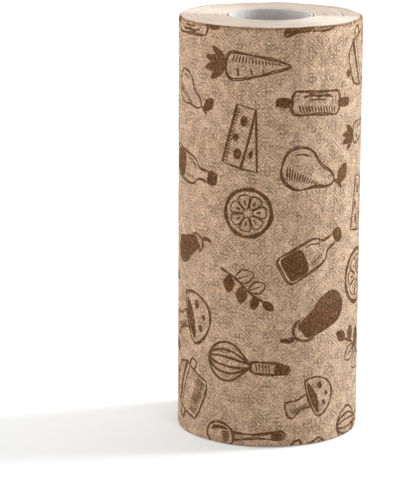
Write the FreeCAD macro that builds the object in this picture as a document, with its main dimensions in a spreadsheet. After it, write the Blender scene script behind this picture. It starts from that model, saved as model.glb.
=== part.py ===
# Paper towel roll: an embossed paper web wound on a cardboard core, standing on its end.
#
# Millimetres. The origin is on the roll's axis, in the plane that the roll stands on, and +Z runs
# up the axis. The web is one solid: its outline is the last turn of a spiral, whose loose end
# stands proud by one sheet, and a V groove winds round each end face where the turns lie against
# each other. The core is a tube of glued cardboard plies that the first turn is wound on.

import FreeCAD, Part
import math
import os
import Sketcher

# alias, value and meaning of each driving dimension
SIZES = [
    ("roll_height", 225.0, "width of the web, and so the length of the roll"),
    ("roll_radius", 49.2, "from the axis to the outside of the loose end"),
    ("sheet_step", 0.8, "how far the loose end stands proud of the turn below it"),
    ("loose_end_angle", 5.0, "where the loose end lies, in degrees from +X"),
    ("core_bore_radius", 22.4, "the opening that a holder's rod goes through"),
    ("core_wall", 0.9, "thickness of the cardboard"),
    ("glue_line", 0.1, "between the core and the first turn"),
    ("layers_shown", 10.0, "layers drawn on each end face, each standing for several turns"),
    ("groove_width", 0.8, "width of the groove between two layers, at the end face"),
    ("groove_depth", 0.5, "depth of the groove"),
]

# expressions that more than one feature uses
CORE_RADIUS = "(Sizes.core_bore_radius + Sizes.core_wall)"
WEB_BORE = f"({CORE_RADIUS} + Sizes.glue_line)"
LAST_TURN = "(Sizes.roll_radius - Sizes.sheet_step)"
LAYER = f"(({LAST_TURN} - {WEB_BORE}) / Sizes.layers_shown)"
HALF_HEIGHT = "Sizes.roll_height / 2"

# how a sketch names its origin, its X axis and the points of an edge
ORIGIN = (-1, 1)
X_AXIS = -1
START, END, CENTRE = 1, 2, 3

UP = FreeCAD.Vector(0, 0, 1)


def make_sizes(doc):
    sizes = doc.addObject("Spreadsheet::Sheet", "Sizes")
    for row, (alias, number, meaning) in enumerate(SIZES, start=1):
        sizes.set(f"A{row}", str(number))
        sizes.setAlias(f"A{row}", alias)
        sizes.set(f"B{row}", meaning)
    doc.recompute()
    return sizes


def value(expression):
    return float(sizes.evalExpression(expression))


def make_body(name):
    """Starts a body that lies half below and half above its own XY plane."""
    body = doc.addObject("PartDesign::Body", name)
    body.Label = name
    body.Placement = FreeCAD.Placement(FreeCAD.Vector(), FreeCAD.Rotation(UP, 1))
    body.setExpression("Placement.Base.z", HALF_HEIGHT)
    body.setExpression("Placement.Rotation.Angle", "Sizes.loose_end_angle")
    return body


def origin_plane(body, role):
    return next(plane for plane in body.Origin.OriginFeatures if plane.Role == role)


def make_sketch(body, name, role):
    sketch = body.newObject("Sketcher::SketchObject", name)
    sketch.AttachmentSupport = [(origin_plane(body, role), "")]
    sketch.MapMode = "FlatFace"
    return sketch


def dimension(sketch, kind, places, expression):
    """Adds a dimension between places of a sketch and ties it to the sizes."""
    index = sketch.addConstraint(Sketcher.Constraint(kind, *places, value(expression)))
    sketch.setExpression(f"Constraints[{index}]", expression)


def relate(sketch, kind, *places):
    sketch.addConstraint(Sketcher.Constraint(kind, *places))


def draw_circle(sketch, radius):
    circle = sketch.addGeometry(Part.Circle(FreeCAD.Vector(), UP, value(radius)))
    relate(sketch, "Coincident", circle, CENTRE, *ORIGIN)
    dimension(sketch, "Radius", (circle,), radius)


def draw_spiral(sketch, start, pitch, half_turns):
    """Winds half circles outwards from the X axis, and returns them from the inside out.

    Two centres lie a quarter of the pitch to either side of the origin. Half circles that take
    them in turn meet without a kink, and each reaches half a pitch further out than the last.
    """
    offset = value(pitch) / 4
    radius = value(start) + offset
    arcs = []
    for half_turn in range(half_turns):
        upper = half_turn % 2 == 0
        centre = FreeCAD.Vector(-offset if upper else offset, 0, 0)
        first_angle = 0 if upper else math.pi
        half_circle = Part.ArcOfCircle(Part.Circle(centre, UP, radius), first_angle, first_angle + math.pi)
        arc = sketch.addGeometry(half_circle)
        relate(sketch, "PointOnObject", arc, CENTRE, X_AXIS)
        centre_places = (arc, CENTRE, *ORIGIN) if upper else (*ORIGIN, arc, CENTRE)
        dimension(sketch, "DistanceX", centre_places, f"{pitch} / 4")
        if arcs:
            relate(sketch, "Coincident", arcs[-1], END, arc, START)
        else:
            relate(sketch, "PointOnObject", arc, START, X_AXIS)
            dimension(sketch, "DistanceX", (*ORIGIN, arc, START), start)
        relate(sketch, "PointOnObject", arc, END, X_AXIS)
        arcs.append(arc)
        radius += 2 * offset
    return arcs


def pad(body, sketch, name):
    feature = body.newObject("PartDesign::Pad", name)
    feature.Profile = sketch
    feature.SideType = "Symmetric"
    feature.setExpression("Length", "Sizes.roll_height")
    sketch.Visibility = False
    return feature


def make_core_tube():
    body = make_body("core_tube")
    ring = make_sketch(body, "core_ring", "XY_Plane")
    draw_circle(ring, "Sizes.core_bore_radius")
    draw_circle(ring, CORE_RADIUS)
    pad(body, ring, "core_length")
    return body


def draw_web_outline(body):
    """The last turn of the web, closed by the cut edge of its loose end, and the hole for the core."""
    sketch = make_sketch(body, "web_outline", "XY_Plane")
    inner_half, outer_half = draw_spiral(sketch, LAST_TURN, "Sizes.sheet_step", 2)
    loose_end = FreeCAD.Vector(value("Sizes.roll_radius"), 0, 0)
    turn_below = FreeCAD.Vector(value(LAST_TURN), 0, 0)
    cut_edge = sketch.addGeometry(Part.LineSegment(loose_end, turn_below))
    relate(sketch, "Coincident", outer_half, END, cut_edge, START)
    relate(sketch, "Coincident", cut_edge, END, inner_half, START)
    draw_circle(sketch, WEB_BORE)
    return sketch


def draw_groove_path(body):
    """The line between the layers, on the end face. One whole layer stays beside each edge."""
    sketch = make_sketch(body, "groove_path", "XY_Plane")
    sketch.setExpression("AttachmentOffset.Base.z", HALF_HEIGHT)
    half_turns = 2 * (round(value("Sizes.layers_shown")) - 2)
    draw_spiral(sketch, f"{WEB_BORE} + {LAYER}", LAYER, half_turns)
    return sketch


def draw_groove_section(body):
    """A V with its point down, where the path starts. The sketch's Y axis is the roll's axis."""
    sketch = make_sketch(body, "groove_section", "XZ_Plane")
    middle = value(f"{WEB_BORE} + {LAYER}")
    half_width = value("Sizes.groove_width / 2")
    top = value(HALF_HEIGHT)
    point = FreeCAD.Vector(middle, top - value("Sizes.groove_depth"), 0)
    corners = [FreeCAD.Vector(middle - half_width, top, 0), point, FreeCAD.Vector(middle + half_width, top, 0)]
    sides = []
    for first, second in zip(corners, corners[1:] + corners[:1]):
        sides.append(sketch.addGeometry(Part.LineSegment(first, second)))
    for first, second in zip(sides, sides[1:] + sides[:1]):
        relate(sketch, "Coincident", first, END, second, START)
    down, up, across = sides
    relate(sketch, "Horizontal", across)
    relate(sketch, "Equal", down, up)
    dimension(sketch, "DistanceX", (down, START, up, END), "Sizes.groove_width")
    dimension(sketch, "DistanceX", (*ORIGIN, down, END), f"{WEB_BORE} + {LAYER}")
    dimension(sketch, "DistanceY", (*ORIGIN, down, START), HALF_HEIGHT)
    dimension(sketch, "DistanceY", (down, END, down, START), "Sizes.groove_depth")
    return sketch


def make_paper_roll():
    body = make_body("paper_roll")
    web = pad(body, draw_web_outline(body), "web_width")
    path = draw_groove_path(body)
    section = draw_groove_section(body)
    doc.recompute()

    top_turns = body.newObject("PartDesign::SubtractivePipe", "top_turns")
    top_turns.Profile = section
    top_turns.Spine = (path, [f"Edge{number}" for number in range(1, path.GeometryCount + 1)])
    doc.recompute()

    both_ends = body.newObject("PartDesign::Mirrored", "both_ends")
    both_ends.Originals = [top_turns]
    both_ends.MirrorPlane = (origin_plane(body, "XY_Plane"), [""])
    body.Tip = both_ends
    doc.recompute()

    section_area = value("Sizes.groove_width * Sizes.groove_depth / 2")
    expected = 2 * section_area * path.Shape.Length
    removed = web.Shape.Volume - both_ends.Shape.Volume
    print(f"turn grooves: {removed:.1f} mm3 cut, {expected:.1f} expected")
    if abs(removed - expected) > 0.02 * expected:
        raise RuntimeError("the grooves on the end faces aren't cut as drawn")
    return body


doc = FreeCAD.newDocument("paper_towel_roll")
sizes = make_sizes(doc)
subparts = [make_core_tube(), make_paper_roll()]
doc.recompute()

for item in doc.Objects:
    if {"Invalid", "Error"} & set(item.State):
        raise RuntimeError(f"{item.Name} failed: {item.State}")

os.makedirs("parts", exist_ok=True)
for subpart in subparts:
    shape = subpart.Shape
    if shape.isNull() or not shape.isValid() or len(shape.Solids) != 1:
        raise RuntimeError(f"{subpart.Label} isn't one valid solid")
    shape.exportStep(f"parts/{subpart.Label}.step")
    box = shape.BoundBox
    print(f"{subpart.Label}: {shape.Volume / 1000:.1f} cm3, x {box.XMin:.2f} to {box.XMax:.2f}, "
          f"y {box.YMin:.2f} to {box.YMax:.2f}, z {box.ZMin:.2f} to {box.ZMax:.2f}")
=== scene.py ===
# %% [markdown]
# # A roll of embossed, printed kitchen paper
# The roll is a paper web wound on a cardboard core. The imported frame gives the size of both, and
# everything below is built inside that frame. The looks come from four things: the relief pressed
# into the web, the brown line print on it, the many fine turns at the cut ends, and the grey core.

# %% Frame
import math
import random

import bpy
import numpy as np
from mathutils import Euler, Matrix, Vector
from mathutils.geometry import delaunay_2d_cdt


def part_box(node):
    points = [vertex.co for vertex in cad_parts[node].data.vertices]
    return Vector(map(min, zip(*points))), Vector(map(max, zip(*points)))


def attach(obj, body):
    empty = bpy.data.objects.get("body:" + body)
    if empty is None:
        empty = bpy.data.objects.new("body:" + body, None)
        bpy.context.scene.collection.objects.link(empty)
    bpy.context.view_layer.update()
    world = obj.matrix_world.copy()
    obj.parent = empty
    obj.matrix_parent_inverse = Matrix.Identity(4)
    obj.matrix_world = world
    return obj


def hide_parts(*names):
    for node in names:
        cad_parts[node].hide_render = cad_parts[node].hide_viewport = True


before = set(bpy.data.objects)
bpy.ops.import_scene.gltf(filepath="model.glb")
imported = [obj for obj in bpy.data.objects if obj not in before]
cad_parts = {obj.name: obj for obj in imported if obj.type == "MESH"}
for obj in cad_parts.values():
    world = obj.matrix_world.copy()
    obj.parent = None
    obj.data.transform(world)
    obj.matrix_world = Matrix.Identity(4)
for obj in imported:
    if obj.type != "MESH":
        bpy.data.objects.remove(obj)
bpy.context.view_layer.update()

MM = 0.001
bpy.ops.object.select_all(action="DESELECT")

ROLL_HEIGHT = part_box("paper_roll")[1].z
ROLL_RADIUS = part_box("paper_roll")[1].x
CORE_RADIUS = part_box("core_tube")[1].x
print(f"roll {2 * ROLL_RADIUS / MM:.1f} mm across and {ROLL_HEIGHT / MM:.1f} mm high")

# %% [markdown]
# ## The camera
# A product picture is taken from well back with a long lens, so that the sides stay almost
# parallel. The place and the angles were found by fitting the roll's outline, and the roll's own
# frame stays where it is: only the camera is placed.

# %% Camera
CAMERA_PLACE = Vector((0, -1308.3, 408.0)) * MM
CAMERA_YAW, CAMERA_PITCH, CAMERA_ROLL = (math.radians(a) for a in (-1.617, -13.223, -0.248))
FOCAL_LENGTH = 184.6
SENSOR = 36

camera_data = bpy.data.cameras.new("camera")
camera_data.sensor_width = SENSOR
camera_data.lens = FOCAL_LENGTH
camera_data.clip_end = 50
camera = bpy.data.objects.new("camera", camera_data)
bpy.context.scene.collection.objects.link(camera)
camera.location = CAMERA_PLACE
look = Euler((math.radians(90) + CAMERA_PITCH, 0, -CAMERA_YAW)).to_matrix()
camera.rotation_euler = (look @ Matrix.Rotation(-CAMERA_ROLL, 3, "Z")).to_euler()
bpy.context.scene.camera = camera

# %% [markdown]
# ## Nodes in few words
# Every finish here is a small tree of shader nodes. A helper that adds a node, sets its inputs and
# links it in one call keeps those trees short enough to read.

# %% Node helper
def add_node(tree, kind, inputs=(), **settings):
    """Adds a node. inputs gives each socket, by name or number, a value or another socket."""
    node = tree.nodes.new(kind)
    for name, setting in settings.items():
        setattr(node, name, setting)
    for name, given in dict(inputs).items():
        if isinstance(given, bpy.types.NodeSocket):
            tree.links.new(given, node.inputs[name])
        else:
            node.inputs[name].default_value = given
    return node


def new_material(name):
    material = bpy.data.materials.new(name)
    material.use_nodes = True
    material.node_tree.nodes.clear()
    return material, material.node_tree


def linear(red, green, blue):
    """A screen colour, 0 to 255, as the linear colour that shaders use."""
    channels = [c / 255 for c in (red, green, blue)]
    lit = (c / 12.92 if c <= 0.04045 else ((c + 0.055) / 1.055) ** 2.4 for c in channels)
    return (*lit, 1)


def mix_colours(tree, factor, first, second):
    """A Mix node's colour sockets share their names with its other sockets, so numbers pick them."""
    return add_node(tree, "ShaderNodeMix", {0: factor, 6: first, 7: second}, data_type="RGBA").outputs[2]


def math_node(tree, operation, *values, clamp=False):
    settings = {"operation": operation, "use_clamp": clamp}
    return add_node(tree, "ShaderNodeMath", enumerate(values), **settings).outputs[0]


def noise(tree, place, scale, detail=2, roughness=0.5):
    inputs = {"Vector": place, "Scale": scale, "Detail": detail, "Roughness": roughness}
    return add_node(tree, "ShaderNodeTexNoise", inputs).outputs["Fac"]


def ramp(tree, value, low, high):
    """Maps low to high onto 0 to 1, with smooth ends."""
    inputs = {"Value": value, "From Min": low, "From Max": high}
    return add_node(tree, "ShaderNodeMapRange", inputs, interpolation_type="SMOOTHSTEP").outputs["Result"]


def finish_material(tree, colour, roughness, bump=None, **fixed):
    shader = add_node(tree, "ShaderNodeBsdfPrincipled", {"Base Color": colour, "Roughness": roughness})
    for name, setting in fixed.items():
        shader.inputs[name.replace("_", " ")].default_value = setting
    if bump:
        tree.links.new(bump, shader.inputs["Normal"])
    add_node(tree, "ShaderNodeOutputMaterial", {"Surface": shader.outputs[0]})


# %% [markdown]
# ## Floor and light
# The roll stands on a white sweep. Two large soft lamps stand beside and a little behind it, the
# right one stronger and cooler, so both edges of the roll are lighter than its middle, as a round
# thing looks in a light tent. Weaker lamps fill the front, the top and the inside of the core. The
# sweep glows more with the distance, as a lit backdrop does, and fades into plain white.

# %% Floor
FLOOR_SIZE = 12
FLOOR_GLOW, FAR_GLOW = 0.2, 0.72
NEAR_FLOOR, FAR_FLOOR = 0.2, 2.0
FLOOR_COLOUR = (0.74, 0.745, 0.745, 1)
GLOW_COLOUR = (1, 1, 0.985, 1)

bpy.ops.mesh.primitive_plane_add(size=FLOOR_SIZE, location=(0, 0, 0))
floor = bpy.context.object
floor.name = "floor"
floor_paint, tree = new_material("white_sweep")
place = add_node(tree, "ShaderNodeTexCoord").outputs["Object"]
away = add_node(tree, "ShaderNodeVectorMath", {0: place}, operation="LENGTH").outputs["Value"]
backlight = math_node(tree, "MULTIPLY", ramp(tree, away, NEAR_FLOOR, FAR_FLOOR), FAR_GLOW)
strength = math_node(tree, "ADD", backlight, FLOOR_GLOW)
lit = add_node(tree, "ShaderNodeBsdfDiffuse", {"Color": FLOOR_COLOUR})
glow = add_node(tree, "ShaderNodeEmission", {"Color": GLOW_COLOUR, "Strength": strength})
both = add_node(tree, "ShaderNodeAddShader", {0: lit.outputs[0], 1: glow.outputs[0]})
add_node(tree, "ShaderNodeOutputMaterial", {"Surface": both.outputs[0]})
floor.data.materials.append(floor_paint)


# %% Light
WHITE, COOL_WHITE = (1, 1, 1), (1, 1.11, 1.17)
ROOM_LIGHT = 0.025
MIDDLE = (0, 0, ROLL_HEIGHT / 2)


def add_lamp(name, place, size, power, colour=WHITE):
    """A soft lamp that faces the middle of the roll. Metres and watts."""
    lamp_data = bpy.data.lights.new(name, "AREA")
    lamp_data.shape = "RECTANGLE"
    lamp_data.size, lamp_data.size_y = size
    lamp_data.energy = power
    lamp_data.color = colour
    lamp = bpy.data.objects.new(name, lamp_data)
    lamp.location = place
    lamp.rotation_euler = (Vector(MIDDLE) - Vector(place)).to_track_quat("-Z", "Y").to_euler()
    bpy.context.scene.collection.objects.link(lamp)


add_lamp("right_softbox", (1.25, 0.34, 0.75), (0.45, 0.65), 23.6, COOL_WHITE)
add_lamp("left_softbox", (-1.3, 0.35, 0.6), (0.8, 1.0), 13.2)
add_lamp("top_softbox", (0.1, 0.3, 1.4), (1.0, 1.0), 9.2)
add_lamp("top_front", (0.1, -0.7, 1.4), (0.8, 0.8), 7.3)
add_lamp("left_front", (-1.1, -0.9, 0.6), (0.6, 0.9), 2.2)

world = bpy.data.worlds.new("studio")
world.use_nodes = True
background = world.node_tree.nodes["Background"]
background.inputs["Color"].default_value = (*WHITE, 1)
background.inputs["Strength"].default_value = ROOM_LIGHT
bpy.context.scene.world = world
bpy.context.scene.view_settings.view_transform = "Standard"

# %% [markdown]
# ## How the web winds
# A point of the web has flat coordinates: how far it lies from the loose end, and how far up the
# sheet. Winding turns the first into an angle and a radius that shrinks by one sheet each turn, so
# any drawing or relief made on flat paper lands on the roll without stretching. The cut edges wave
# a little, and the lower one has lifted off the ground in one place.

# %% Winding
LOOSE_ANGLE = math.radians(5)
SHEET_STEP = 0.8 * MM
PAPER_THICKNESS = 0.30 * MM
MEAN_RADIUS = ROLL_RADIUS - SHEET_STEP / 2
TURN_LENGTH = 2 * math.pi * MEAN_RADIUS
EDGE_WAVE, EDGE_WAVE_LENGTHS = 0.35 * MM, (20 * MM, 90 * MM)
FOOT_SEED, BRIM_SEED = 3, 4
LIFT, LIFT_AT, LIFT_HALF = 0.5 * MM, 57 * MM, 15 * MM


def waves(u, z, seed, shortest, longest, count=6):
    """A smooth uneven surface between about -1 and 1: a few seeded sine waves in all directions."""
    draw = random.Random(seed)
    total = 0
    for _ in range(count):
        length = draw.uniform(shortest, longest)
        heading = draw.uniform(0, 2 * math.pi)
        phase = draw.uniform(0, 2 * math.pi)
        along = u * math.cos(heading) + z * math.sin(heading)
        total = total + np.sin(along * 2 * math.pi / length + phase)
    return np.clip(total / math.sqrt(2 * count), -1, 1)


def wind(u, z, depth):
    """Places flat points of the web on the roll, depth below the outside of their turn."""
    angle = LOOSE_ANGLE - u / MEAN_RADIUS
    radius = ROLL_RADIUS - SHEET_STEP * u / TURN_LENGTH - depth
    foot = EDGE_WAVE * (1 + waves(u, 0, FOOT_SEED, *EDGE_WAVE_LENGTHS))
    foot = foot + LIFT * np.exp(-((u - LIFT_AT) / LIFT_HALF) ** 2)
    brim = EDGE_WAVE * (1 + waves(u, 0, BRIM_SEED, *EDGE_WAVE_LENGTHS))
    up = foot + z / ROLL_HEIGHT * (ROLL_HEIGHT - foot - brim)
    return np.stack([radius * np.cos(angle), radius * np.sin(angle), up], axis=-1)


# %% [markdown]
# ## One formula for mesh and shader
# A mesh can only be as fine as its grid, while a shader works out the surface again for each point
# of the picture. So the relief is written once, as sums of the web's flat coordinates u and z. Given
# arrays of numbers, it shapes the mesh. Given wires, it lays out nodes for the shader's fine bump. A
# wire is the output of a node, with the signs for adding and multiplying taught to add Math nodes.

# %% Wires
class Wire:
    def __init__(self, tree, socket):
        self.tree = tree
        self.socket = socket

    def math(self, operation, *others):
        values = [other.socket if isinstance(other, Wire) else other for other in (self, *others)]
        return Wire(self.tree, math_node(self.tree, operation, *values))

    def __add__(self, other):
        return self.math("ADD", other)

    def __sub__(self, other):
        return self.math("SUBTRACT", other)

    def __mul__(self, other):
        return self.math("MULTIPLY", other)

    def __truediv__(self, other):
        return self.math("DIVIDE", other)

    def __abs__(self):
        return self.math("ABSOLUTE")


def whole(a):
    return a.math("ROUND") if isinstance(a, Wire) else np.round(a)


def larger(a, b):
    return a.math("MAXIMUM", b) if isinstance(a, Wire) else np.maximum(a, b)


def smaller(a, b):
    return a.math("MINIMUM", b) if isinstance(a, Wire) else np.minimum(a, b)


def distance(x, y):
    squares = x * x + y * y
    return squares.math("SQRT") if isinstance(squares, Wire) else np.sqrt(squares)


def bell(away, half_width):
    """1 where away is 0, falling evenly to both sides, to a third at the half width."""
    power = (away / half_width) * (away / half_width) * -1
    return power.math("EXPONENT") if isinstance(power, Wire) else np.exp(power)


# %% [markdown]
# ## The relief
# The web is quilted: double lines cross in a net of diamonds, and each diamond holds a flower of
# four round cushions about a small one. The lines are pressed in, and the paper between puffs up.

# %% Relief
REPEAT_ROUND = TURN_LENGTH / 20.5
REPEAT_UP = 13.2 * MM
DIAMOND_REACH = REPEAT_ROUND * REPEAT_UP / (2 * math.hypot(REPEAT_ROUND, REPEAT_UP))
NET_LINE, NET_HALF, NET_PRESS = 0.85, 0.42 * MM, 0.78
PETAL_X, PETAL_Y = 2.2 * MM, 2.3 * MM
PETAL_RADIUS, PETAL_HALF, PETAL_PRESS = 1.15 * MM, 0.42 * MM, 0.95
HEART_RADIUS, HEART_PUFF = 0.7 * MM, 0.9
PRESSED, MESH_BREADTH = 0.40 * MM, 1.5
WORN_SEED, WORN, WORN_LENGTHS = 7, 0.15, (20 * MM, 80 * MM)
PUFF_SEED, PUFF, PUFF_LENGTHS = 8, 0.05 * MM, (6 * MM, 30 * MM)
EDGE_CURL, CURL_WIDTH = 0.42 * MM, 1.0 * MM


def pressed_in(u, z, breadth=1):
    """How deep the roller's lines lie in the web, from 0 to 1. Breadth makes the lines wider."""
    p = u / REPEAT_ROUND + z / REPEAT_UP
    q = u / REPEAT_ROUND - z / REPEAT_UP
    p, q = p - whole(p), q - whole(q)
    net = bell((larger(abs(p), abs(q)) * 2 - NET_LINE) * DIAMOND_REACH, NET_HALF * breadth)
    x, y = abs(p + q) * (REPEAT_ROUND / 2), abs(p - q) * (REPEAT_UP / 2)
    to_petal = smaller(distance(x - PETAL_X, y), distance(x, y - PETAL_Y))
    petal_rim = bell(to_petal - PETAL_RADIUS, PETAL_HALF * breadth)
    heart = bell(distance(x, y), HEART_RADIUS)
    return larger(net * NET_PRESS, petal_rim * PETAL_PRESS) * (heart * -HEART_PUFF + 1)


def relief(u, z):
    """How deep the mesh lies under the outside of the puffed paper, in metres."""
    strength = 1 - WORN + WORN * waves(u, z, WORN_SEED, *WORN_LENGTHS)
    puff = PUFF * (1 + waves(u, z, PUFF_SEED, *PUFF_LENGTHS))
    curl = EDGE_CURL * (bell(z, CURL_WIDTH) + bell(ROLL_HEIGHT - z, CURL_WIDTH))
    return PRESSED * pressed_in(u, z, MESH_BREADTH) * strength + puff + curl


# %% [markdown]
# ## The pen
# The print is a set of pen drawings. A stroke is a smooth curve through a few points, widened to
# the breadth of the nib and swelling a little along the way as a hand does. The main outlines are
# drawn over a second time, never quite on the same line, as in a quick sketch. Each short length
# of a stroke is one small four-cornered patch of ink, which later gets cut into the sheet itself.

# %% Smooth curves
STROKE_STEP = 1.4


def smooth_curve(points, closed=False, step=STROKE_STEP):
    """Points about a step apart on a Catmull-Rom curve through the given ones."""
    knots = [np.array(p, float) for p in points]
    count = len(knots)
    at = (lambda i: knots[i % count]) if closed else (lambda i: knots[min(max(i, 0), count - 1)])
    curve = []
    for i in range(count if closed else count - 1):
        before, start, end, after = (at(i + k) for k in (-1, 0, 1, 2))
        pieces = max(1, round(np.linalg.norm(end - start) / step))
        for piece in range(pieces):
            t = piece / pieces
            curve.append(0.5 * (2 * start + (end - before) * t
                                + (2 * before - 5 * start + 4 * end - after) * t**2
                                + (3 * start - before - 3 * end + after) * t**3))
    if not closed:
        curve.append(knots[-1])
    return np.array(curve)


# %% Strokes
NIB, SWELL, SWELL_STEP = 0.56, 0.16, 0.9
FINE, MEDIUM = 0.5, 0.6
SECOND_NIB, RETRACE = 0.42, 0.6
TAPERED = 0.6
RETRACED_POINTS = 8


def across(line, closed):
    """The unit vectors at right angles to a line of points."""
    heading = np.gradient(line, axis=0)
    if closed:
        heading[0] = heading[-1] = line[1] - line[-2]
    heading /= np.maximum(np.linalg.norm(heading, axis=1, keepdims=True), 1e-9)
    return np.stack([-heading[:, 1], heading[:, 0]], axis=1)


def is_plain(patch):
    """Whether a patch turns the same way at all its corners, so that it doesn't cross itself."""
    edge = np.roll(patch, -1, axis=0) - patch
    following = np.roll(edge, -1, axis=0)
    return np.all(edge[:, 0] * following[:, 1] - edge[:, 1] * following[:, 0] > 1e-4)


def inked_line(line, half_width, closed):
    """Patches of ink along a line of points."""
    if not closed and len(line) > 2:
        half_width[[0, -1]] *= TAPERED
    side = across(line, closed) * half_width[:, None]
    left, right = line + side, line - side
    corners = zip(right, right[1:], left[1:], left)
    return [patch for patch in map(np.array, corners) if is_plain(patch)]


def stroke(points, width=NIB, closed=False, straight=False):
    """The ink patches of one pen stroke."""
    line = np.array(points, float) if straight else smooth_curve(points, closed)
    if closed:
        line = np.vstack([line, line[:1]])
    along = np.arange(len(line))
    swell = 1 + SWELL * np.sin(along * SWELL_STEP + line[0, 0])
    ink = inked_line(line, 0.5 * width * swell, closed)
    if width == NIB and len(line) > RETRACED_POINTS:
        sway = RETRACE * np.sin(4 * math.pi * along / (len(line) - 1) + line[0, 0])
        again = line + across(line, closed) * sway[:, None]
        ink += inked_line(again, np.full(len(line), SECOND_NIB / 2), closed)
    return ink


# %% Fills and hatching
def fill(points):
    """One patch of solid ink inside a smooth closed curve."""
    return [smooth_curve(points, closed=True)]


def hatch(first, second, count, width=FINE):
    """Short strokes from one guide line to another. A guide line is a pair of points."""
    patches = []
    for number in range(count):
        t = (number + 0.5) / count
        start = np.array(first[0]) + (np.array(first[1]) - first[0]) * t
        end = np.array(second[0]) + (np.array(second[1]) - second[0]) * t
        patches += stroke([start, start + (end - start) * 0.5, end], width)
    return patches


def ellipse(centre, radii, start=0, end=360, count=10):
    angles = np.radians(np.linspace(start, end, count, endpoint=end - start < 360))
    (x, y), (wide, tall) = centre, radii
    return [(x + wide * math.cos(a), y + tall * math.sin(a)) for a in angles]


# %% [markdown]
# ## The drawings
# Kitchen things, drawn upright about their own middle, in a draughtsman's millimetres that the
# layout below enlarges.

# %% Tools
def leaf(root, tip, belly=0.32, solid=False):
    root, tip = np.array(root, float), np.array(tip, float)
    sideways = np.array([-(tip - root)[1], (tip - root)[0]]) * belly
    middle = (root + tip) / 2
    outline = [root, middle + sideways, tip, middle - sideways]
    if solid:
        return fill(outline)
    return stroke(outline, MEDIUM, closed=True) + stroke([root, middle, (middle + tip) / 2], FINE)


def whisk():
    handle = [(-1.3, -13), (-1.7, -6), (-1.5, -1.5), (1.5, -1.5), (1.7, -6), (1.3, -13), (0, -13.8)]
    drawing = stroke(handle, closed=True)
    drawing += fill([(-1.4, -9), (1.4, -9), (1.1, -12.8), (0, -13.4), (-1.1, -12.8)])
    drawing += hatch([(-1.3, -8), (-1.3, -3)], [(1.3, -7.4), (1.3, -2.4)], 5)
    for reach in (1.4, 3.6, 6.0):
        right_side = [(reach * 0.8, 10.5), (reach, 5), (0.6, -1.2)]
        left_side = [(-x, y) for x, y in reversed(right_side)]
        drawing += stroke([*left_side, (0, 13), *right_side], 0.75)
    return drawing


def spoon():
    drawing = stroke(ellipse((0, 9), (4.4, 5.6)), closed=True)
    drawing += fill([(2.2, 5.2), (3.4, 8.0), (3.2, 11.6), (1.6, 12.6), (2.2, 9.0)])
    drawing += hatch([(-1.8, 5.4), (1.8, 5.0)], [(-2.6, 7.6), (1.4, 8.4)], 6)
    drawing += stroke([(-1.1, 3.8), (-0.9, -4), (-1.4, -13), (0, -14.2), (1.4, -13), (0.9, -4), (1.1, 3.8)])
    return drawing + fill([(-0.9, -9.4), (0.9, -9.4), (1.1, -12.8), (0, -13.6), (-1.1, -12.8)])


def rolling_pin():
    left_side = [(-3.3, -7.6), (-3.6, 0), (-3.3, 7.6)]
    right_side = [(-x, -y) for x, y in left_side]
    barrel = [*left_side, (0, 8.2), *right_side, (0, -8.2)]
    drawing = stroke(barrel, closed=True)
    for end in (-1, 1):
        drawing += fill([(-0.9, end * 8.4), (-1.6, end * 10.6), (-1.1, end * 13.2), (1.1, end * 13.2),
                         (1.6, end * 10.6), (0.9, end * 8.4)])
    drawing += hatch([(0.7, -6.8), (1.1, 6.8)], [(3.1, -5.8), (3.1, 7.2)], 13)
    drawing += stroke([(-2.0, -5), (-2.3, 0), (-2.0, 5.5)])
    return drawing + stroke([(-0.9, -3), (-1.1, 1), (-0.9, 3)], FINE)


# %% Fruit, mushroom and herb
def pear():
    left_side = [(0, 7.6), (-2.4, 5.4), (-3.6, 1.0), (-6.6, -4.4), (-4.6, -10.0), (0, -11.2)]
    right_side = [(4.8, -9.8), (6.6, -4.4), (3.4, 1.2), (2.2, 5.6)]
    drawing = stroke(left_side + right_side, closed=True)
    drawing += stroke([(0, 7.4), (0.2, 9.6), (1.4, 11.8)], 1.1) + leaf((0.6, 9.6), (-6.4, 11.6), solid=True)
    drawing += hatch([(0.6, -10.0), (2.2, 2.4)], [(4.6, -8.6), (3.0, 1.4)], 13)
    return drawing + stroke([(-4.6, -3.6), (-4.4, -6.6), (-3.2, -8.6)], MEDIUM)


def mushroom():
    cap = [(-8.4, 0.4), (-7.2, 5.6), (-2.6, 9.4), (2.8, 9.3), (7.4, 5.4), (8.4, 0.2)]
    drawing = stroke([*cap, (4.2, -1.2), (-4.2, -1.0)], closed=True)
    stem_side = [(2.8, -1.4), (2.2, -6), (3.6, -10.6)]
    drawing += stroke([*((-x, y) for x, y in stem_side), (0, -11.8), *reversed(stem_side)])
    drawing += fill([(-6.9, 0.9), (0, 2.6), (6.9, 0.8), (3.6, -0.6), (-3.6, -0.5)])
    for centre, radii in (((-3.4, 5.2), (1.6, 1.1)), ((1.2, 7.0), (1.1, 0.8)), ((4.2, 4.4), (1.3, 1.0))):
        drawing += fill(ellipse(centre, radii, count=7))
    return drawing + hatch([(0.2, -10.4), (0.2, -2.8)], [(2.8, -9.6), (1.9, -2.6)], 9)


def sprig():
    drawing = stroke([(0.8, -13), (-0.4, -5), (0.5, 3), (0, 8.5)], 0.9)
    leaves = ((-8.5, 1, 7.5), (-5.5, -1, 8.0), (-1.8, 1, 7.4), (1.4, -1, 7.0), (4.6, 1, 5.8))
    for height, side, length in leaves:
        tip = (side * length * 0.85, height + length * 0.55)
        drawing += leaf((0, height), tip, 0.34, solid=side > 0)
    return drawing + leaf((0, 8.2), (0.4, 14.2), 0.3, solid=True)


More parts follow.
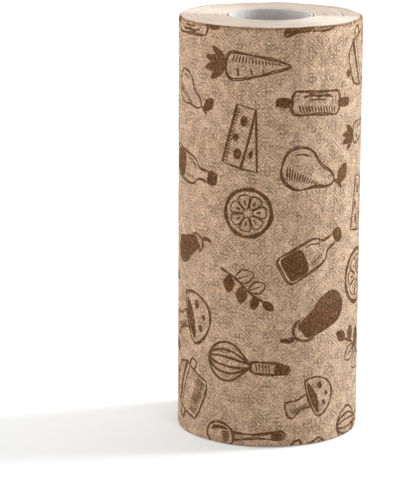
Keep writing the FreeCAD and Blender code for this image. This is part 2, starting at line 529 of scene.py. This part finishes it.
def lemon_slice():
    drawing = stroke(ellipse((0, 0), (9.4, 9.2), count=16), 1.5, closed=True)
    for number in range(7):
        turn = math.radians(360 / 7 * number + 12)
        spoke = np.array([math.cos(turn), math.sin(turn)])
        sideways = np.array([-spoke[1], spoke[0]]) * 2.4
        segment = [spoke * 1.5, spoke * 6.2 - sideways, spoke * 7.3, spoke * 6.2 + sideways]
        drawing += stroke(segment, MEDIUM, closed=True)
        drawing += stroke([spoke * 3.4, spoke * 5.2], 0.8, straight=True)
    return drawing


def carrot():
    drawing = stroke([(-4.0, 4.6), (0, 6.0), (4.0, 4.6), (3.1, -3), (1.1, -12), (-0.1, -14.2), (-1.3, -11),
                      (-3.2, -3)], closed=True)
    drawing += hatch([(0.3, -11.6), (0.8, 4.4)], [(1.0, -10.6), (3.4, 3.6)], 15)
    for height, length in ((1.8, 2.4), (-2.4, 1.8), (-6.0, 1.4)):
        edge = -3.4 + (1.8 - height) * 0.17
        drawing += stroke([(edge, height), (edge + length, height + 0.4)], 0.7, straight=True)
    for reach, top in ((-5, 11.6), (-1.8, 14.0), (1.8, 13.6), (5, 11.0)):
        drawing += leaf((reach * 0.12, 6.0), (reach, top), 0.2, solid=True)
    return drawing


# %% Pot, vegetable, cheese, bottle and knife
def pot():
    drawing = stroke([(-8.6, 4.2), (-8.2, -5.6), (-6.4, -8.4), (6.4, -8.4), (8.2, -5.6), (8.6, 4.2)])
    drawing += stroke([(-9.4, 4.4), (0, 5.2), (9.4, 4.4)], 1.4)
    drawing += stroke([(-8.4, 5.4), (-5.4, 8.8), (0, 9.9), (5.4, 8.8), (8.4, 5.4)])
    drawing += fill(ellipse((0, 11.4), (1.6, 1.4), count=7))
    for side in (-1, 1):
        handle = [(side * x, y) for x, y in ((8.6, 2.4), (11.6, 2.2), (11.6, -0.8), (8.5, -0.6))]
        drawing += stroke(handle, 1.0)
    drawing += hatch([(-6.6, -7.6), (6.8, -7.6)], [(-6.4, -3.0), (7.4, -3.0)], 17)
    return drawing + stroke([(-8.2, 2.2), (0, 2.9), (8.2, 2.2)], MEDIUM)


def aubergine():
    left_side = [(0.4, 5.4), (-3.0, 3.4), (-4.8, -3.2), (-5.4, -8.6), (-1.4, -12.6)]
    right_side = [(3.8, -11.4), (5.6, -6.4), (4.0, -1.0), (3.2, 3.6)]
    drawing = fill(left_side + right_side)
    drawing += stroke([(-3.8, 3.2), (-2.6, 6.6), (0.2, 8.0), (2.8, 6.8), (4.0, 3.8), (1.6, 5.2), (0.2, 3.4),
                       (-1.4, 5.2)], closed=True)
    return drawing + stroke([(0.2, 8.0), (0.6, 10.4), (2.4, 12.2)], 1.5)


def cheese():
    front = [(-9.4, -5.6), (-9.4, 0.4), (9.0, 5.8), (9.4, -0.4), (9.4, -5.6)]
    drawing = stroke(front, 0.8, closed=True, straight=True)
    drawing += stroke([(-9.4, 0.4), (0, 0.7), (9.4, 0.6)], 0.8)
    for centre, radii in (((-5.0, -2.2), (1.8, 1.3)), ((0.6, -3.4), (1.3, 1.0)), ((5.4, -1.6), (1.9, 1.4)),
                          ((4.2, 2.5), (1.3, 0.7))):
        drawing += fill(ellipse(centre, radii, count=7))
    return drawing + hatch([(-8.6, -5.2), (8.8, -5.2)], [(-8.2, -4.2), (9.0, -4.2)], 20)


def bottle():
    right_side = [(1.6, 9.6), (1.8, 5.4), (5.0, 1.4), (5.2, -11.4), (4.2, -12.6)]
    drawing = stroke([*((-x, y) for x, y in right_side), *reversed(right_side)])
    drawing += fill([(-2.2, 9.8), (-2.0, 13.4), (2.0, 13.4), (2.2, 9.8)])
    filling = [(-4.2, -4.0), (-4.4, -11.0), (-3.4, -11.8), (3.4, -11.8), (4.4, -11.0), (4.2, -4.6)]
    drawing += fill([*filling, (0, -3.4)])
    drawing += stroke([(-3.6, -1.6), (-3.4, 0.8), (-1.6, 3.6)], FINE)
    return drawing + hatch([(1.8, -2.6), (1.6, 2.6)], [(4.0, -2.4), (2.6, 2.8)], 6)


def knife():
    drawing = stroke([(-2.2, -1.4), (-2.4, 6), (-0.6, 13.6), (1.8, 9.6), (2.4, 4), (2.0, -1.4)])
    drawing += stroke([(-2.4, -1.5), (2.3, -1.5)], 1.0, straight=True)
    handle = [(-1.7, -2.4), (-2.0, -8), (-1.4, -12.6), (0.6, -13.8), (2.2, -12.4), (1.4, -8)]
    drawing += fill([*handle, (1.7, -2.4)])
    return drawing + hatch([(0.9, -0.4), (0.9, 8.6)], [(1.9, 0.4), (1.6, 9.2)], 8)


# %% All drawings
DRAWINGS = [whisk, pear, pot, sprig, rolling_pin, mushroom, lemon_slice]
DRAWINGS += [knife, aubergine, cheese, spoon, bottle, carrot]
print(len(DRAWINGS), "drawings,", sum(len(draw()) for draw in DRAWINGS), "patches of ink")

# %% [markdown]
# ## Where the drawings fall
# The print repeats along the web in staggered columns. The web comes off a roll sideways, so the
# drawings lie on their sides as the roll stands, each leaning its own way. Of a few leans tried for
# each, the one that leaves its neighbours the most room is kept. A drawing that meets an edge of the
# web is simply cut by it.

# %% Layout of the print
PRINT_COLUMN, PRINT_ROW = 38.0, 40.0
PRINT_START = (17.0, 6.0)
PRINT_LEAN = 40
PRINT_SIZES = (1.35, 1.55, 1.72)
PRINT_JITTER = 1.5
PRINT_ROWS = range(-1, 7)
PRINT_SEED = 21
NEXT_COLUMN, NEXT_ROW = 5, 3
LEANS_TRIED = 14
NEIGHBOUR_REACH = 60
FAR_APART = 100


def turned(drawing, size, angle, place):
    """A drawing enlarged, turned and set down on the web, in millimetres. The web runs leftwards."""
    turn = size * np.array([[-math.cos(angle), math.sin(angle)], [math.sin(angle), math.cos(angle)]])
    return [patch @ turn.T + place for patch in drawing]


def room_between(drawing, others):
    """The gap between a drawing and the nearest of the others."""
    ours = np.vstack(drawing)[::3]
    gaps = [np.linalg.norm(ours[:, None] - other[None], axis=2).min() for other in others]
    return min(gaps, default=FAR_APART)


# %% Laying the print
def lay_print(length):
    """The ink patches along a length of web. Each column starts further on in the list of drawings."""
    draw = random.Random(PRINT_SEED)
    laid, outlines = [], []
    for column in range(-1, math.ceil(length / PRINT_COLUMN) + 1):
        for row in PRINT_ROWS:
            drawing = DRAWINGS[(NEXT_COLUMN * column + NEXT_ROW * row) % len(DRAWINGS)]()
            size = draw.choice(PRINT_SIZES)
            along = PRINT_START[0] + PRINT_COLUMN * column + draw.uniform(-PRINT_JITTER, PRINT_JITTER)
            up = PRINT_START[1] + PRINT_ROW * (row + 0.5 * (column % 2))
            place = np.array([along, up + draw.uniform(-PRINT_JITTER, PRINT_JITTER)])
            to_others = [np.linalg.norm(other.mean(axis=0) - place) for other in outlines]
            near = [other for other, away in zip(outlines, to_others) if away < NEIGHBOUR_REACH]
            tries = []
            for _ in range(LEANS_TRIED):
                angle = math.radians(90 * draw.choice((-1, 1)) + draw.uniform(-PRINT_LEAN, PRINT_LEAN))
                candidate = turned(drawing, size, angle, place)
                tries.append((room_between(candidate, near), candidate))
            best = max(tries, key=lambda tried: tried[0])[1]
            laid += best
            outlines.append(np.vstack(best)[::3])
    return laid


# %% [markdown]
# ## Cutting the ink into the sheet
# Ink could be a picture laid over the mesh, but pictures aren't used here, and a fine line needs
# sharp edges. So the sheet is triangulated flat, with every ink patch as a fixed outline: each
# triangle then lies wholly inside or outside the ink and simply takes the ink's material. Only
# after that is the flat sheet given its relief and wound onto the roll.

# %% Flat meshes
NEAR = 1e-3
INSIDE_FACES = 1


def triangulate(points, edges, outlines):
    """Triangulates points, edges and closed outlines, flat and in millimetres.

    Returns the points and triangles, the numbers of the outlines that each triangle lies in, and a
    table from the given points, then the outlines' points, to points of the result.
    """
    places = [Vector(p) for p in points]
    faces = []
    for outline in outlines:
        numbers = list(range(len(places), len(places) + len(outline)))
        x, y = np.array(outline, float).T
        leftwards = np.sum(x * np.roll(y, -1) - y * np.roll(x, -1)) > 0
        faces.append(numbers if leftwards else numbers[::-1])
        places += [Vector(p) for p in outline]
    found = delaunay_2d_cdt(places, edges, faces, INSIDE_FACES, NEAR, True)
    table = {source: number for number, sources in enumerate(found[3]) for source in sources}
    return np.array([tuple(p) for p in found[0]]), found[2], found[5], table


def keep_used(flat, triangles):
    """Drops the points that no triangle uses. The third result gives each old point's new number."""
    used = np.unique(triangles)
    renumber = np.full(len(flat), -1)
    renumber[used] = np.arange(len(used))
    return flat[used], renumber[triangles], renumber


# %% Rims and grids
def rim_order(flat, box):
    """The points on a rectangle's edge, in order round it. box is its low and high corner."""
    (left, low), (right, high) = box
    wide, tall = right - left, high - low
    u, z = flat[:, 0], flat[:, 1]
    along = np.full(len(flat), -1.0)
    along[np.abs(z - low) < NEAR] = (u - left)[np.abs(z - low) < NEAR]
    side = (np.abs(u - right) < NEAR) & (along < 0)
    along[side] = wide + (z - low)[side]
    side = (np.abs(z - high) < NEAR) & (along < 0)
    along[side] = wide + tall + (right - u)[side]
    side = (np.abs(u - left) < NEAR) & (along < 0)
    along[side] = 2 * wide + tall + (high - z)[side]
    rim = np.flatnonzero(along >= 0)
    return rim[np.argsort(along[rim])]


def staggered_grid(box, spacing):
    """Points in rows, every other row shifted by half a space, with full rows of points on each edge."""
    (left, low), (right, high) = box
    rows = max(2, round((high - low) / (spacing * math.sqrt(3) / 2)))
    columns = max(2, round((right - left) / spacing))
    points = []
    for row in range(rows + 1):
        at = np.arange(columns + 1.0)
        if row % 2 and row < rows:
            at = np.concatenate([[0], np.arange(columns) + 0.5, [columns]])
        points += [(left + (right - left) * a / columns, low + (high - low) * row / rows) for a in at]
    return points


# %% [markdown]
# ## The printed sheets
# The web is torn off at lines of small cuts, so the last turn is made of sheets. Each sheet is a
# closed skin: the relief outside, a plain inner face that nobody sees, and the cut edges between.

# %% Sheet pieces
GRID = 0.67
INNER_GRID = 9.0
SHEET_LENGTH = 150.0
OVERLAP = 14.0
CUT_LENGTH, CUT_PITCH, CUT_HALF = 2.4, 3.4, 0.35
CUT_DEPTH = 0.25 * MM


def mesh_object(name, places, faces, flat=None):
    mesh = bpy.data.meshes.new(name)
    mesh.from_pydata(places, [], faces)
    piece = bpy.data.objects.new(name, mesh)
    bpy.context.scene.collection.objects.link(piece)
    if flat is not None:
        web = mesh.uv_layers.new(name="web")
        corner = np.empty(len(mesh.loops), int)
        mesh.loops.foreach_get("vertex_index", corner)
        web.data.foreach_set("uv", np.ascontiguousarray(flat[corner], np.float32).ravel())
    return piece


def perforation(u, z, seams):
    """How far the paper sinks at the lines of small cuts, from 0 to 1."""
    to_middle = np.abs(2 * ((z / MM / CUT_PITCH) % 1) - 1)
    cuts = np.clip(4 * (CUT_LENGTH / CUT_PITCH - to_middle) + 0.5, 0, 1)
    near = sum(bell(u / MM - seam, CUT_HALF) for seam in seams)
    return cuts * near


# %% Making a sheet
def touches(patch, box):
    """Whether a patch of ink reaches into a rectangle, given as its low and high corner."""
    return np.all(patch.max(axis=0) > box[0]) and np.all(patch.min(axis=0) < box[1])


def make_sheet(name, start, end, ink):
    """A closed sheet in place on the roll, and its faces' material slots: 0 is paper and 1 is ink."""
    high = ROLL_HEIGHT / MM
    box = ((start, 0.0), (end, high))
    near = [patch for patch in ink if touches(patch, box)]
    border = [(start, 0.0), (end, 0.0), (end, high), (start, high)]
    flat, triangles, inside, _ = triangulate(staggered_grid(box, GRID), [], [border] + near)
    kept = [i for i, ids in enumerate(inside) if 0 in ids]
    inked = np.array([len(inside[i]) > 1 for i in kept])
    flat, outer, _ = keep_used(flat, np.array([triangles[i] for i in kept]))
    rim = rim_order(flat, box)

    sparse = [p for p in staggered_grid(box, INNER_GRID) if start < p[0] < end and 0 < p[1] < high]
    inner_flat, inner, _, table = triangulate([tuple(flat[i]) for i in rim] + sparse, [], [border])
    inner = np.array(inner)
    inner_of_rim = np.array([table[i] for i in range(len(rim))])

    u, z = flat[:, 0] * MM, flat[:, 1] * MM
    depth = relief(u, z)
    seams = (SHEET_LENGTH, 2 * SHEET_LENGTH)
    shown = wind(u, z, depth + CUT_DEPTH * perforation(u, z, seams))
    inner_depth = np.full(len(inner_flat), PAPER_THICKNESS + PRESSED)
    inner_depth[inner_of_rim] = depth[rim] + PAPER_THICKNESS
    hidden = wind(inner_flat[:, 0] * MM, inner_flat[:, 1] * MM, inner_depth)

    count = len(flat)
    following = np.roll(np.arange(len(rim)), -1)
    edge = np.stack([rim, rim[following], count + inner_of_rim[following], count + inner_of_rim], axis=1)
    faces = outer[:, ::-1].tolist() + (inner + count).tolist() + edge.tolist()
    piece = mesh_object(name, np.vstack([shown, hidden]), faces, np.vstack([flat, inner_flat]) * MM)
    slots = np.zeros(len(faces), int)
    slots[:len(inked)][inked] = 1
    return piece, slots


# %% The last turn's sheets
print_patches = lay_print(2 * SHEET_LENGTH + OVERLAP)
sheets = {}
for number, name in enumerate(("last_sheet", "sheet_before", "sheet_under_end")):
    start = number * SHEET_LENGTH
    end = min(start + SHEET_LENGTH, TURN_LENGTH / MM + OVERLAP)
    sheets[name] = make_sheet(name, start, end, print_patches)
    print(name, f"{start:.0f} to {end:.0f} mm:", len(sheets[name][0].data.polygons), "faces")

# %% [markdown]
# ## The wound web
# Under the last turn lies the rest of the web. At each cut end it shows as one long spiral of thin
# edges, some a little higher than others. The spiral's lines are triangulated flat like the print,
# inside the roll's outline and round the core, then each point gets its height.

# %% Wound web
TURNS = 54
POINTS_PER_TURN = 220
RIM_POINTS = 400
VALLEY, CREST_IN, CREST_OUT = 0.0, 0.36, 0.72
VALLEY_DEPTH = 0.34 * MM
TURN_LEVELS, FIRST_LAP = 0.07 * MM, 0.2
WOBBLE, WOBBLE_LENGTHS = 0.16, (6 * MM, 16 * MM)
UNEVEN, UNEVEN_LENGTHS = 0.10 * MM, (30 * MM, 200 * MM)
OPEN, OPEN_LENGTHS, LEAST_OPEN, MOST_OPEN = (0.7, 0.5), (10 * MM, 50 * MM), 0.2, 1.4
WEB_BORE = CORE_RADIUS + 0.05 * MM
UNDER_LAST_TURN = PAPER_THICKNESS + 0.03 * MM
BORE_MARGIN, RIM_MARGIN = 0.06 * MM, 0.08 * MM


def outline_radius(angle_from_end, z):
    """The web's radius under the last turn, which its relief presses in. The angle runs backwards."""
    u = angle_from_end * MEAN_RADIUS
    return ROLL_RADIUS - SHEET_STEP * u / TURN_LENGTH - UNDER_LAST_TURN - relief(u, z)


def polar(radius, angle_from_end):
    angle = LOOSE_ANGLE - angle_from_end
    return np.stack([radius * np.cos(angle), radius * np.sin(angle)], axis=-1)


# %% Lines of the turns
def turn_lines(z, seed):
    """The spiral lines of one end face: points in millimetres, their depths, and edges between them."""
    pitch = (ROLL_RADIUS - SHEET_STEP - UNDER_LAST_TURN - WEB_BORE) / TURNS
    lap = np.arange(TURNS * POINTS_PER_TURN) / POINTS_PER_TURN
    angle = 2 * math.pi * (lap % 1)
    levels = np.random.RandomState(seed).uniform(-1, 1, TURNS + 1)
    points, depths, edges = [], [], []
    for phase in (VALLEY, CREST_IN, CREST_OUT):
        radius = ROLL_RADIUS - UNDER_LAST_TURN - pitch * (lap + phase + FIRST_LAP)
        along = 2 * math.pi * radius * lap
        radius = radius + WOBBLE * pitch * waves(along, lap * 0.02, seed, *WOBBLE_LENGTHS)
        depth = UNEVEN * waves(along, lap * 0.01, seed + 1, *UNEVEN_LENGTHS)
        depth = depth + TURN_LEVELS * np.interp(lap, np.arange(TURNS + 1), levels)
        if phase == VALLEY:
            openness = OPEN[0] + OPEN[1] * waves(along, lap * 0.03, seed + 2, *OPEN_LENGTHS)
            depth = depth + VALLEY_DEPTH * np.clip(openness, LEAST_OPEN, MOST_OPEN)
        inside = (radius > WEB_BORE + BORE_MARGIN) & (radius < outline_radius(angle, z) - RIM_MARGIN)
        numbers = np.full(len(lap), -1)
        numbers[inside] = len(points) + np.arange(inside.sum())
        edges += [(int(a), int(b)) for a, b in zip(numbers, numbers[1:]) if a >= 0 and b >= 0]
        points += (polar(radius, angle)[inside] / MM).tolist()
        depths += depth[inside].tolist()
    return points, depths, edges


# %% End faces
def end_face(z, seed):
    """One end face: its flat points, triangles and depths, and its rim's and its bore's points."""
    points, depths, edges = turn_lines(z, seed)
    rim_angle = np.linspace(0, 2 * math.pi, RIM_POINTS + 1)
    outline = polar(outline_radius(rim_angle, z), rim_angle) / MM
    bore = polar(np.full(RIM_POINTS // 4, WEB_BORE), rim_angle[:-1:4]) / MM
    flat, triangles, inside, table = triangulate(points, edges, [outline, bore])
    kept = np.array([t for t, ids in zip(triangles, inside) if 0 in ids and 1 not in ids])
    flat, kept, renumber = keep_used(flat, kept)
    result = {source: renumber[number] for source, number in table.items()}
    depth = np.full(len(flat), VALLEY_DEPTH / 2)
    for source in range(len(points)):
        depth[result[source]] = depths[source]
    first = len(points)
    rim = [result[first + i] for i in range(len(outline))]
    hole = [result[first + len(outline) + i] for i in range(len(bore))]
    depth[hole] = 0
    return flat * MM, kept, depth, rim, hole


# %% The whole wound web
END_LEVEL = 0.3 * MM
TOP_END_SEED, FOOT_END_SEED = 31, 47
WALL_INSET = 2 * MM
WALL_PRESSED = 1.15 * PRESSED


def make_wound_web():
    top_flat, top_faces, top_depth, top_rim, top_hole = end_face(ROLL_HEIGHT, TOP_END_SEED)
    foot_flat, foot_faces, foot_depth, foot_rim, foot_hole = end_face(0.0, FOOT_END_SEED)
    rim_angle = np.linspace(0, 2 * math.pi, RIM_POINTS + 1)
    wall_radius = ROLL_RADIUS - SHEET_STEP * rim_angle / (2 * math.pi) - PAPER_THICKNESS - WALL_PRESSED
    wall = polar(wall_radius, rim_angle)
    places = [
        np.column_stack([top_flat, ROLL_HEIGHT - END_LEVEL - top_depth]),
        np.column_stack([foot_flat, END_LEVEL + foot_depth]),
        np.column_stack([wall, np.full(len(wall), ROLL_HEIGHT - WALL_INSET)]),
        np.column_stack([wall, np.full(len(wall), WALL_INSET)]),
    ]
    firsts = np.cumsum([0] + [len(p) for p in places])
    foot_rim, foot_hole = np.array(foot_rim) + firsts[1], np.array(foot_hole) + firsts[1]
    high, low = firsts[2] + np.arange(len(wall)), firsts[3] + np.arange(len(wall))
    faces = top_faces.tolist() + (foot_faces[:, ::-1] + firsts[1]).tolist()
    for upper, lower in ((top_rim, high), (high, low), (low, foot_rim), (foot_hole, top_hole)):
        upper, lower = np.array(upper), np.array(lower)
        faces += np.stack([upper, np.roll(upper, -1), np.roll(lower, -1), lower], axis=1).tolist()
    piece = mesh_object("wound_web", np.vstack(places), faces)
    sunk = piece.data.attributes.new("sunk", "FLOAT", "POINT")
    in_wall = np.full(2 * len(wall), VALLEY_DEPTH)
    sunk.data.foreach_set("value", np.concatenate([top_depth, foot_depth, in_wall]) / VALLEY_DEPTH)
    return piece


wound_web = make_wound_web()
print("wound web:", len(wound_web.data.polygons), "faces,", TURNS, "turns at each end")

# %% [markdown]
# ## The cardboard core
# A core is wound from strips of grey board that run round it like a screw, so its inside shows a
# fine seam that climbs at a slant. A ring is extruded upwards and turned a little at each step,
# which makes the mesh itself run round like the strips, and one of its columns becomes the seam.

# %% Core
CORE_SIDES, CORE_RINGS = 120, 45
CORE_WALL = 0.9 * MM
STRIP_LEAD = 104 * MM
SEAM_DEPTH = 0.16 * MM
RIM_SOFTNESS = 0.14 * MM

rise = (ROLL_HEIGHT - 2 * END_LEVEL) / CORE_RINGS
turn_each_ring = 2 * math.pi * rise / STRIP_LEAD
inner_radius = CORE_RADIUS - CORE_WALL
foot = (0, 0, END_LEVEL)
bpy.ops.mesh.primitive_circle_add(vertices=CORE_SIDES, radius=inner_radius, location=foot)
core = bpy.context.object
core.name = "core"
bpy.ops.object.mode_set(mode="EDIT")
bpy.ops.mesh.select_all(action="SELECT")
for _ in range(CORE_RINGS):
    bpy.ops.mesh.extrude_region_move(TRANSFORM_OT_translate={"value": (0, 0, rise)})
    bpy.ops.transform.rotate(value=-turn_each_ring, orient_axis="Z", center_override=(0, 0, 0))
bpy.ops.mesh.select_all(action="SELECT")
bpy.ops.mesh.normals_make_consistent(inside=False)
bpy.ops.object.mode_set(mode="OBJECT")

# %% Core seam and wall
side_angle = 2 * math.pi / CORE_SIDES
on_seam = 0
for vertex in core.data.vertices:
    turned_back = math.atan2(vertex.co.y, vertex.co.x) - vertex.co.z * 2 * math.pi / STRIP_LEAD
    column = turned_back / side_angle
    if abs(column - CORE_SIDES * round(column / CORE_SIDES)) < 0.1:
        vertex.co.xy *= 1 + SEAM_DEPTH / inner_radius
        on_seam += 1
wall = core.modifiers.new("wall", "SOLIDIFY")
wall.thickness = CORE_WALL - SEAM_DEPTH
wall.offset = 1
rims = core.modifiers.new("soft_rims", "BEVEL")
rims.width = RIM_SOFTNESS
rims.segments = 2
rims.angle_limit = math.radians(60)
bpy.context.view_layer.objects.active = core
for modifier in ("wall", "soft_rims"):
    bpy.ops.object.modifier_apply(modifier=modifier)
print("core:", len(core.data.polygons), "faces,", on_seam, "points on the seam")

# %% [markdown]
# ## Paper and ink
# Unbleached tissue is a warm brown, a little uneven, with fine fibres and crepe wrinkles that are
# too small to model. They come from noise in the web's own flat coordinates, so that they wind
# with it. The pressed lines drift a little and fail in places, and small crumbs lie between them.
# Both are bumped in, and the paper is painted darker in them as painted shade of the grooves. The
# paper is also darker within about a millimetre of both cut edges. A weak sheen gives the pale
# bloom that loose fibres show along the roll's edges. Ink is the same paper, stained: it is thinner
# where the relief kept the paper off the printing roller, so it is lighter in the pressed lines.

# %% Colours and grain of the paper
PAPER = linear(247, 209, 178)
PAPER_SHADE = linear(207, 169, 132)
PAINTED_GROOVE_SHADE = linear(158, 115, 77)
INK = linear(96, 57, 24)
INK_THIN = linear(136, 94, 56)
DRIFT, DRIFT_SCALE = 1.1 * MM, 220
LINE_BREADTH, LINE_SHADE, LINE_BUMP = 0.95, 0.45, 1.6 * MM
UNEVEN_SCALE, LEAST_PRESSED = 170, 0.2
CRUMB_SCALE, CRUMBS = 520, 0.4
CLOUD_SCALE, CLOUDS = 60, 0.25
SPECKLE_SCALE, SPECKLES = 850, 0.75
MISSED_SCALE = 620
EDGE_SHADE, EDGE_DARK = 0.8 * MM, 0.8
CREPE_SCALE, CREPE_STRETCH, CREPE_BUMP = 950, (1.6, 0.6, 1), 0.5 * MM
FIBRE_SCALE, FIBRES = 3800, 0.3
FIBRE_SHEEN = (1, 0.97, 0.9, 1)


def paper_lines(tree, web):
    """How strongly the pressed lines and crumbs show, from 0 to 1, as bump and as painted shade, and how
    near a cut edge is.
    """
    drift = {"Vector": web, "Scale": DRIFT_SCALE, "Detail": 3}
    drift = add_node(tree, "ShaderNodeTexNoise", drift).outputs["Color"]
    moved = {0: drift, 1: (DRIFT, DRIFT, 0), 2: web}
    moved = add_node(tree, "ShaderNodeVectorMath", moved, operation="MULTIPLY_ADD").outputs["Vector"]
    apart = add_node(tree, "ShaderNodeSeparateXYZ", {0: moved})
    u, z = Wire(tree, apart.outputs[0]), Wire(tree, apart.outputs[1])
    uneven = Wire(tree, ramp(tree, noise(tree, web, UNEVEN_SCALE, 4, 0.6), 0.36, 0.6))
    uneven = uneven * (1 - LEAST_PRESSED) + LEAST_PRESSED
    crumbs = Wire(tree, ramp(tree, noise(tree, web, CRUMB_SCALE, 1), 0.44, 0.6)) * CRUMBS
    lines = larger(pressed_in(u, z, LINE_BREADTH) * uneven, crumbs)
    cut_edge = larger(bell(z, EDGE_SHADE), bell(z * -1 + ROLL_HEIGHT, EDGE_SHADE))
    return lines.socket, cut_edge.socket


# %% Paper and ink
def paper_tree(name, light, dark, groove_shade_and_thin_ink, worn, sheen):
    """A finish of printed tissue. worn says how much of a stain the relief keeps off the paper."""
    material, tree = new_material(name)
    web = add_node(tree, "ShaderNodeUVMap", uv_map="web").outputs[0]
    lines, cut_edge = paper_lines(tree, web)

    cloudy = math_node(tree, "MULTIPLY", noise(tree, web, CLOUD_SCALE, 3), CLOUDS)
    speckle = math_node(tree, "MULTIPLY", noise(tree, web, SPECKLE_SCALE, 2, 0.6), SPECKLES)
    shade = ramp(tree, math_node(tree, "ADD", cloudy, speckle), 0.38, 0.62)
    missed = ramp(tree, noise(tree, web, MISSED_SCALE, 4, 0.7), 0.54, 0.66)
    colour = mix_colours(tree, shade, light, dark)
    colour = mix_colours(tree, math_node(tree, "MULTIPLY", missed, worn), colour, PAPER_SHADE)
    # Painted shade: the paper is darkened in its pressed lines and crumbs, while the ink thins there.
    colour = mix_colours(tree, math_node(tree, "MULTIPLY", lines, LINE_SHADE), colour, groove_shade_and_thin_ink)
    colour = mix_colours(tree, math_node(tree, "MULTIPLY", cut_edge, EDGE_DARK), colour, groove_shade_and_thin_ink)

    stamped = {"Height": lines, "Distance": LINE_BUMP}
    stamped = add_node(tree, "ShaderNodeBump", stamped, invert=True).outputs[0]
    stretched = {"Vector": web, "Scale": CREPE_STRETCH}
    stretched = add_node(tree, "ShaderNodeMapping", stretched).outputs[0]
    fibres = math_node(tree, "MULTIPLY", noise(tree, web, FIBRE_SCALE, 2, 0.7), FIBRES)
    crepe = math_node(tree, "ADD", noise(tree, stretched, CREPE_SCALE, 3, 0.65), fibres)
    bump = add_node(tree, "ShaderNodeBump", {"Height": crepe, "Distance": CREPE_BUMP, "Normal": stamped})
    finish_material(tree, colour, 0.92, bump.outputs[0], Specular_IOR_Level=0.15,
                    Sheen_Weight=sheen, Sheen_Roughness=0.34, Sheen_Tint=FIBRE_SHEEN)
    return material


paper = paper_tree("brown_tissue", PAPER, PAPER_SHADE, PAINTED_GROOVE_SHADE, 0, 0.34)
ink = paper_tree("brown_ink", INK, INK_THIN, INK_THIN, 0.55, 0.1)
for piece, slots in sheets.values():
    piece.data.materials.append(paper)
    piece.data.materials.append(ink)
    piece.data.polygons.foreach_set("material_index", np.ascontiguousarray(slots, np.int32))

# %% [markdown]
# ## Cut ends
# Cut on edge the tissue looks paler than its face, because light passes along the fibres. The gaps
# between the turns get painted shade: the deeper a point lies, the darker and browner it is painted.

# %% End paper
END_PALE = linear(215, 199, 184)
END_GAP_SHADE = linear(176, 149, 123)
END_CLOUDS, END_CLOUD_SCALE = 0.2, 60
END_FIBRE_SCALE, END_BUMP = 2600, 0.12 * MM

end_paper, tree = new_material("cut_tissue")
place = add_node(tree, "ShaderNodeTexCoord").outputs["Object"]
sunk = add_node(tree, "ShaderNodeAttribute", attribute_name="sunk").outputs["Fac"]
cloudy = math_node(tree, "MULTIPLY", noise(tree, place, END_CLOUD_SCALE, 3), END_CLOUDS)
# Painted shade: the deeper a point lies between the turns, the nearer its colour comes to the dark gap
# colour.
gap = math_node(tree, "ADD", ramp(tree, sunk, 0.1, 1.1), cloudy, clamp=True)
colour = mix_colours(tree, gap, END_PALE, END_GAP_SHADE)
fuzz = noise(tree, place, END_FIBRE_SCALE, 3, 0.7)
bump = add_node(tree, "ShaderNodeBump", {"Height": fuzz, "Distance": END_BUMP, "Strength": 0.8})
finish_material(tree, colour, 0.95, bump.outputs[0], Specular_IOR_Level=0.2,
                Sheen_Weight=0.2, Sheen_Roughness=0.6)
wound_web.data.materials.append(end_paper)

# %% [markdown]
# ## Grey board
# Recycled board is grey with darker and lighter flecks of fibre that lie along the strips. The cut
# rim is paler, where the saw has raised the fibres.

# %% Board
BOARD = linear(214, 207, 202)
BOARD_DARK = linear(200, 193, 189)
BOARD_RIM = linear(214, 204, 194)
FLECK_SCALE, FLECK_STRETCH, FLECKS = 700, (1, 1, 0.35), 0.6
BOARD_CLOUD_SCALE, BOARD_CLOUDS = 45, 0.4
BOARD_BUMP = 0.1 * MM

board, tree = new_material("grey_board")
place = add_node(tree, "ShaderNodeTexCoord").outputs["Object"]
along_strips = add_node(tree, "ShaderNodeMapping", {"Vector": place, "Scale": FLECK_STRETCH}).outputs[0]
flecks = noise(tree, along_strips, FLECK_SCALE, 3, 0.7)
cloudy = math_node(tree, "MULTIPLY", noise(tree, place, BOARD_CLOUD_SCALE, 2), BOARD_CLOUDS)
tone = math_node(tree, "ADD", math_node(tree, "MULTIPLY", flecks, FLECKS), cloudy)
colour = mix_colours(tree, ramp(tree, tone, 0.38, 0.64), BOARD_DARK, BOARD)
normal = add_node(tree, "ShaderNodeNewGeometry").outputs["True Normal"]
upwards = add_node(tree, "ShaderNodeSeparateXYZ", {0: normal}).outputs[2]
rim = ramp(tree, math_node(tree, "ABSOLUTE", upwards), 0.3, 0.8)
colour = mix_colours(tree, rim, colour, BOARD_RIM)
bump = add_node(tree, "ShaderNodeBump", {"Height": flecks, "Distance": BOARD_BUMP, "Strength": 0.7})
finish_material(tree, colour, 0.85, bump.outputs[0], Specular_IOR_Level=0.3)
core.data.materials.append(board)

# %% [markdown]
# ## Handing over
# Every piece is shaded smooth except at real edges, rides on the roll's one body, and stands for
# the solid that it was built around.

# %% Ride and replace
SMOOTH_UP_TO = math.radians(50)
pieces = {"core": (core, "core_tube", "core_board"), "wound_web": (wound_web, "paper_roll", "towel_paper")}
for name, (piece, _) in sheets.items():
    pieces[name] = (piece, "paper_roll", "towel_paper")
for name, (piece, node, finish) in pieces.items():
    bpy.ops.object.select_all(action="DESELECT")
    piece.select_set(True)
    bpy.context.view_layer.objects.active = piece
    bpy.ops.object.shade_smooth_by_angle(angle=SMOOTH_UP_TO)
    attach(piece, "root")
    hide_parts(node)
    print(name, len(piece.data.polygons), "faces")
